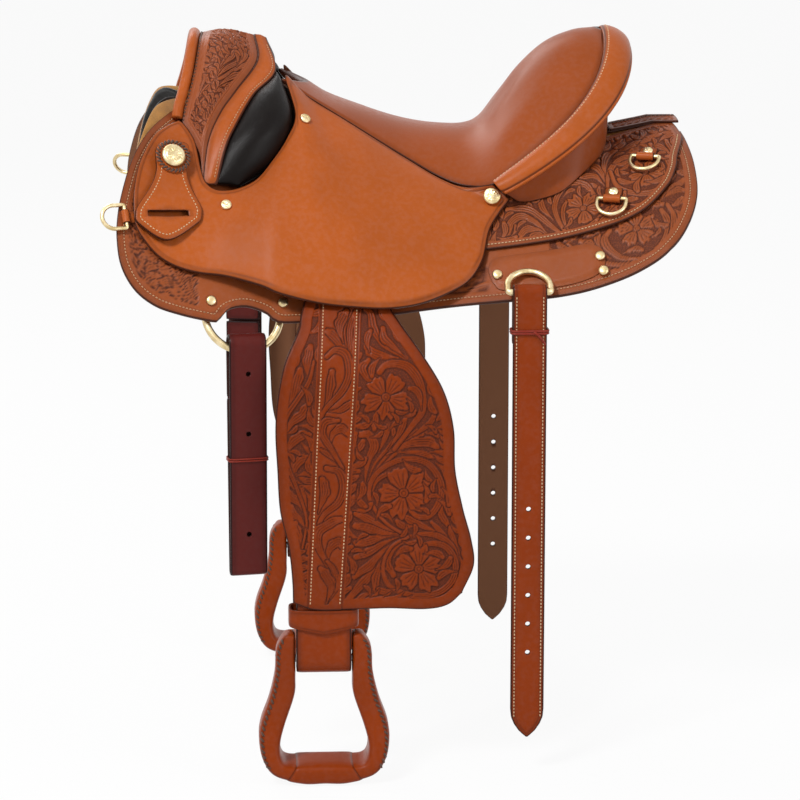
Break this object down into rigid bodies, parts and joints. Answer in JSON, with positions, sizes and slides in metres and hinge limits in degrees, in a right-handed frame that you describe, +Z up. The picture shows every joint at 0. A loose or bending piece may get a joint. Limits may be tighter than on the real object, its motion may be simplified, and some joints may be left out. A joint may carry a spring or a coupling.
{
  "type": "stock saddle",
  "caption": "Hornless half-breed stock saddle with swell fork, knee pads, deep cantle, tooled skirts, swinging fenders, stirrups, latigo and rear billets.",
  "frame": {"origin": "highest line of the horse's back at the middle of the saddle's length", "axes": "+X to the horse's rear, -Y to the near (left) side, +Z up"},
  "size_m": [0.716, 0.6058, 0.879],
  "materials": {
    "brown_leather": "oiled, burnished edges",
    "seat_leather": "smooth, satin",
    "tooled_leather": "carved, stippled ground",
    "black_leather": "grained",
    "burgundy_leather": "oil-tanned",
    "tan_felt": "pressed felt",
    "red_lace": "dyed lace",
    "brass": "polished",
    "tree_wood": "bare",
    "bolt_steel": "plain"
  },
  "bodies": {
    "saddle": {"tree_fork": "tree_wood", "tree_bars": "tree_wood", "tree_cantle": "tree_wood", "ground_seat": "tree_wood", "seat_pad": "seat_leather", "cantle_roll": "seat_leather", "cantle_back": "brown_leather", "swell_cover": "tooled_leather", "gullet_roll": "brown_leather", "swell_bands": "brown_leather", "knee_pad_near": "black_leather", "knee_pad_off": "black_leather", "jockey_near": "brown_leather", "jockey_off": "brown_leather", "skirt_near": "tooled_leather", "skirt_off": "tooled_leather", "felt_layers": "tan_felt", "panels": "black_leather", "housing_near": "tooled_leather", "housing_off": "tooled_leather", "ridge_strip": "brown_leather", "rear_rigging_plates": "brown_leather", "ring_backings": "brown_leather", "front_rings": "brass", "rear_rigging_dees": "brass", "latigo_keepers": "brown_leather", "keeper_rosettes": "black_leather", "keeper_conchos": "brass", "jockey_screws": "brass", "cantle_conchos": "brass", "rigging_rivets": "brass", "dee_tabs": "brown_leather", "dee_studs": "brass", "front_dee_chapes": "brown_leather", "leather_hangers": "bolt_steel"},
    "fender_near": {"fender_near": "tooled_leather", "stirrup_leather_near": "brown_leather", "hobble_strap_near": "brown_leather"},
    "fender_off": {"fender_off": "tooled_leather", "stirrup_leather_off": "brown_leather", "hobble_strap_off": "brown_leather"},
    "stirrup_near": {"stirrup_near": "brown_leather", "stirrup_bolt_near": "bolt_steel", "tread_cover_near": "brown_leather"},
    "stirrup_off": {"stirrup_off": "brown_leather", "stirrup_bolt_off": "bolt_steel", "tread_cover_off": "brown_leather"},
    "latigo_near": {"latigo_near": "burgundy_leather", "latigo_tie_near": "red_lace"},
    "off_billet": {"off_billet": "burgundy_leather"},
    "rear_billet_near": {"rear_billet_near": "brown_leather", "billet_lace_near": "red_lace"},
    "rear_billet_off": {"rear_billet_off": "brown_leather", "billet_lace_off": "red_lace"},
    "front_dee_near": {"front_dee_near": "brass"},
    "front_dee_off": {"front_dee_off": "brass"},
    "saddle_dee_lower_near": {"saddle_dee_lower_near": "brass"},
    "saddle_dee_lower_off": {"saddle_dee_lower_off": "brass"},
    "saddle_dee_upper_near": {"saddle_dee_upper_near": "brass"},
    "saddle_dee_upper_off": {"saddle_dee_upper_off": "brass"}
  },
  "joints": [
    {"name": "fender_near_hinge", "type": "hinge", "parent": "saddle", "child": "fender_near", "pos_m": [-0.08, -0.17813, -0.045], "axis": [0, -0.7986, 0.6018], "range_deg": [-12, 12]},
    {"name": "fender_off_hinge", "type": "hinge", "parent": "saddle", "child": "fender_off", "pos_m": [-0.08, 0.17813, -0.045], "axis": [0, -0.7986, -0.6018], "range_deg": [-12, 12]},
    {"name": "stirrup_near_hinge", "type": "hinge", "parent": "fender_near", "child": "stirrup_near", "pos_m": [-0.106, -0.27193, -0.548], "axis": [1, 0, 0], "range_deg": [-30, 30]},
    {"name": "stirrup_off_hinge", "type": "hinge", "parent": "fender_off", "child": "stirrup_off", "pos_m": [-0.106, 0.27193, -0.548], "axis": [-1, 0, 0], "range_deg": [-30, 30]},
    {"name": "latigo_near_hinge", "type": "hinge", "parent": "saddle", "child": "latigo_near", "pos_m": [-0.19495, -0.25488, -0.17528], "axis": [-0.9843, -0.1764, 0], "range_deg": [-10, 60]},
    {"name": "off_billet_hinge", "type": "hinge", "parent": "saddle", "child": "off_billet", "pos_m": [-0.19495, 0.25488, -0.17528], "axis": [0.9843, -0.1764, 0], "range_deg": [-10, 60]},
    {"name": "rear_billet_near_hinge", "type": "hinge", "parent": "saddle", "child": "rear_billet_near", "pos_m": [0.14, -0.25492, -0.108], "axis": [1, 0, 0], "range_deg": [-60, 15]},
    {"name": "rear_billet_off_hinge", "type": "hinge", "parent": "saddle", "child": "rear_billet_off", "pos_m": [0.14, 0.25492, -0.108], "axis": [-1, 0, 0], "range_deg": [-60, 15]},
    {"name": "front_dee_near_hinge", "type": "hinge", "parent": "saddle", "child": "front_dee_near", "pos_m": [-0.335, -0.22324, -0.019], "axis": [-0.1588, 0.4386, 0.8845], "range_deg": [0, 85]},
    {"name": "front_dee_off_hinge", "type": "hinge", "parent": "saddle", "child": "front_dee_off", "pos_m": [-0.335, 0.22324, -0.019], "axis": [0.1588, 0.4386, -0.8845], "range_deg": [0, 85]},
    {"name": "saddle_dee_lower_near_hinge", "type": "hinge", "parent": "saddle", "child": "saddle_dee_lower_near", "pos_m": [0.246, -0.17028, -0.01], "axis": [-0.9691, 0.2468, 0], "range_deg": [0, 95]},
    {"name": "saddle_dee_lower_off_hinge", "type": "hinge", "parent": "saddle", "child": "saddle_dee_lower_off", "pos_m": [0.246, 0.17028, -0.01], "axis": [0.9691, 0.2468, 0], "range_deg": [0, 95]},
    {"name": "saddle_dee_upper_near_hinge", "type": "hinge", "parent": "saddle", "child": "saddle_dee_upper_near", "pos_m": [0.292, -0.11998, 0.034], "axis": [-0.9301, 0.3674, 0], "range_deg": [0, 95]},
    {"name": "saddle_dee_upper_off_hinge", "type": "hinge", "parent": "saddle", "child": "saddle_dee_upper_off", "pos_m": [0.292, 0.11998, 0.034], "axis": [0.9301, 0.3674, 0], "range_deg": [0, 95]}
  ]
}
